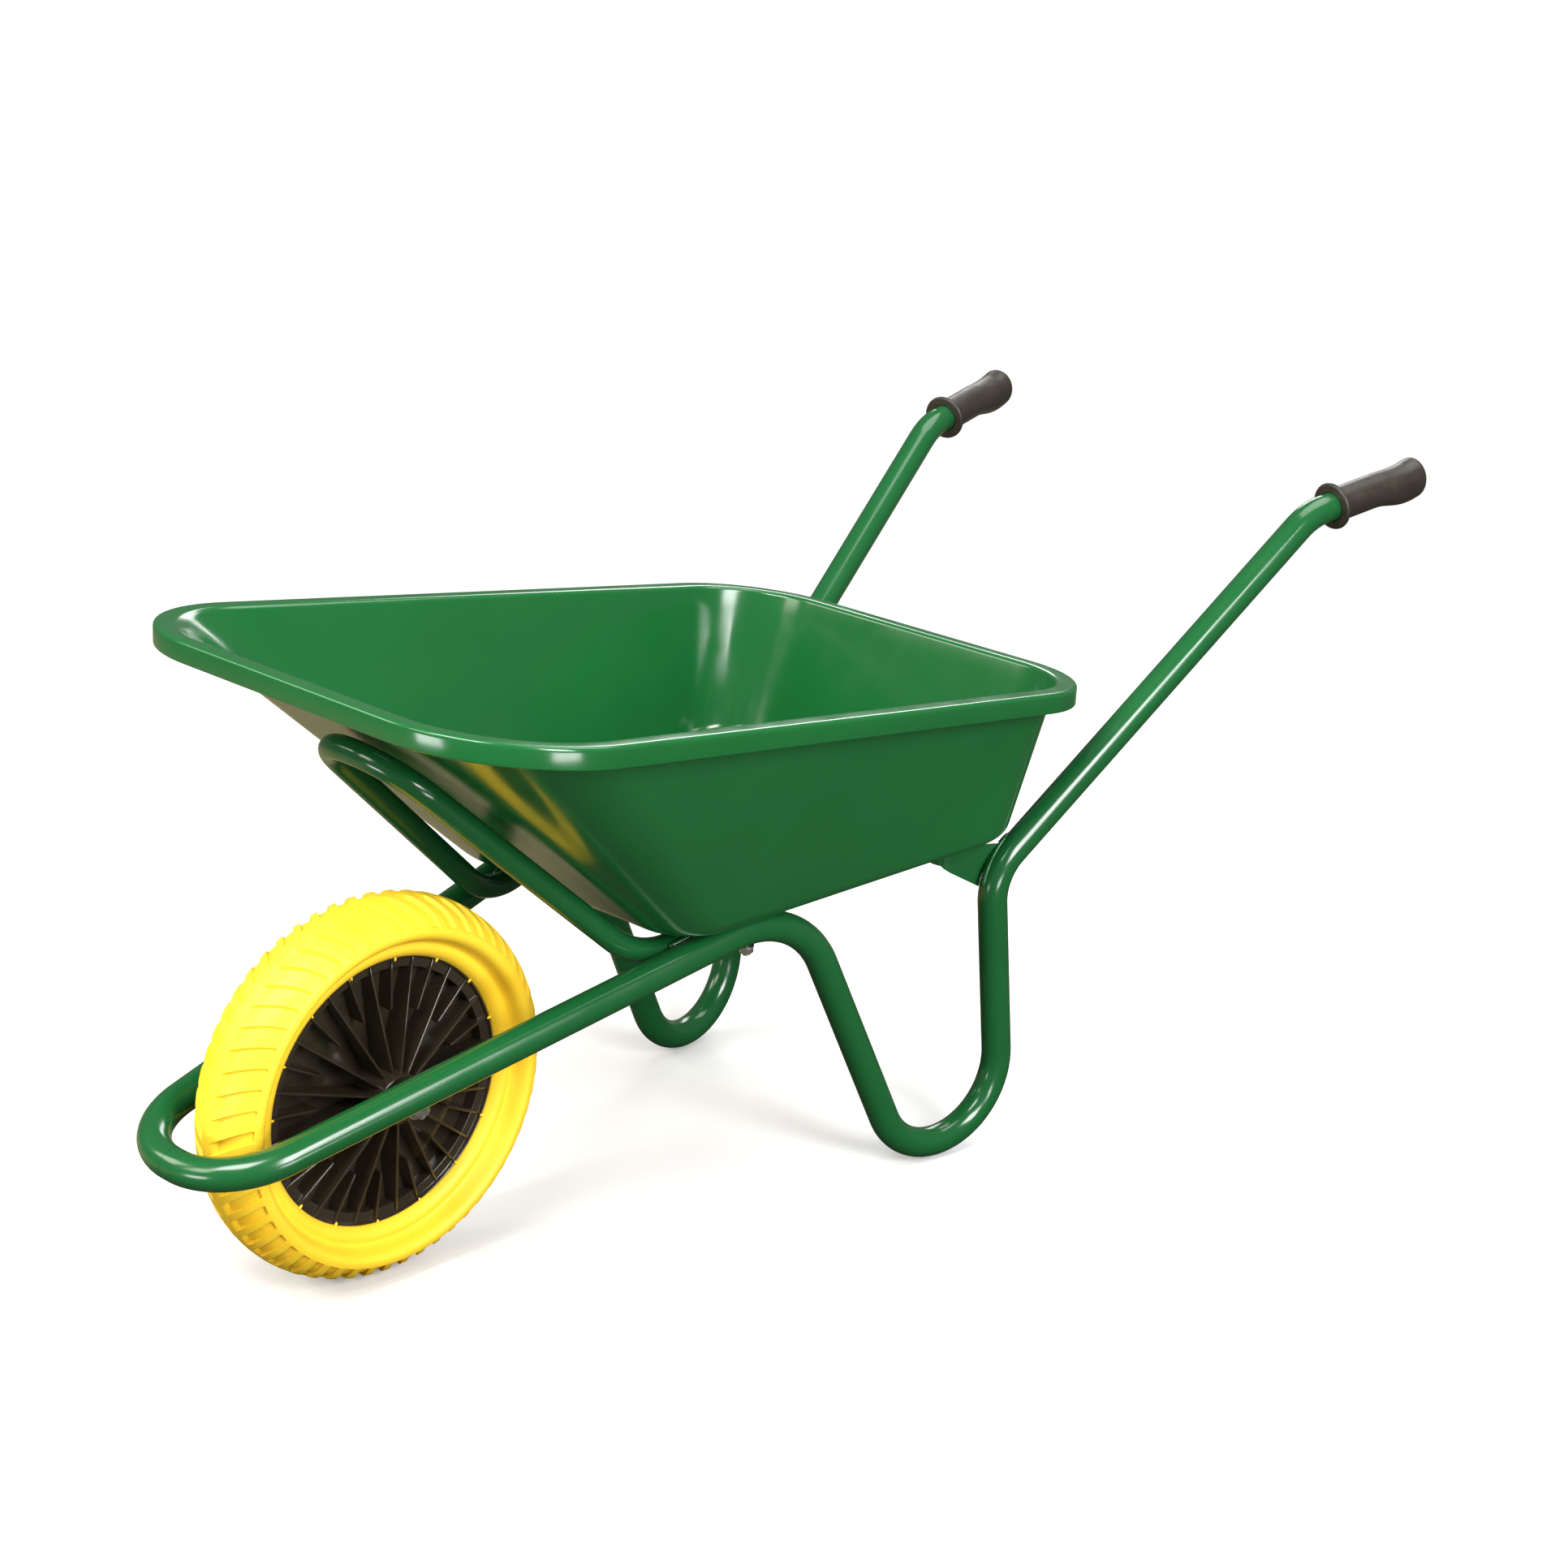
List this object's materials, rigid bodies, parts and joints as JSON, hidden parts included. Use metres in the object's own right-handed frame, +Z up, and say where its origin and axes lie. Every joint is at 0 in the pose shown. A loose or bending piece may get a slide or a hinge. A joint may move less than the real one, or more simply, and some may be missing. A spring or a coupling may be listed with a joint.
{
  "type": "wheelbarrow",
  "caption": "Single-wheel wheelbarrow with a bent tube frame, deep pressed steel tray, foam tyre on a ribbed centre, front support hoop and rubber grips.",
  "frame": {"origin": "on the ground, midway along the barrow and on its centre plane", "axes": "+X from the wheel to the handles, +Y to the right of someone at the handles, +Z up"},
  "size_m": [1.496, 0.6536, 0.7135],
  "materials": {
    "frame_paint": "gloss green paint on bent steel tube",
    "tray_paint": "gloss green paint on pressed steel sheet",
    "grip_rubber": "satin dark grey-brown rubber",
    "zinc_steel": "bright zinc plated",
    "bearing_steel": "ground bearing steel",
    "wheel_plastic": "gloss black moulding",
    "foam_tyre": "satin yellow polyurethane foam skin"
  },
  "bodies": {
    "frame": {"main_frame": "frame_paint", "front_hoop": "frame_paint", "rear_cross_brace": "frame_paint", "axle_bracket_right": "frame_paint", "axle_bracket_left": "frame_paint", "tray": "tray_paint", "grip_right": "grip_rubber", "grip_left": "grip_rubber", "tray_bolts": "zinc_steel", "tray_washers": "zinc_steel", "tray_nuts": "zinc_steel", "axle_bolt": "zinc_steel", "axle_nut": "zinc_steel", "axle_washers": "zinc_steel", "axle_spacer_right": "zinc_steel", "axle_spacer_left": "zinc_steel", "bearing_spacer_tube": "zinc_steel", "bearing_inner_right": "bearing_steel", "bearing_inner_left": "bearing_steel"},
    "wheel": {"bearing_balls_right": "bearing_steel", "bearing_balls_left": "bearing_steel", "bearing_outer_right": "bearing_steel", "bearing_outer_left": "bearing_steel", "wheel_centre": "wheel_plastic", "tyre": "foam_tyre"}
  },
  "joints": [
    {"name": "wheel_spin", "type": "hinge", "parent": "frame", "child": "wheel", "pos_m": [-0.50296, 0, 0.193], "axis": [0, 1, 0], "continuous": true}
  ]
}
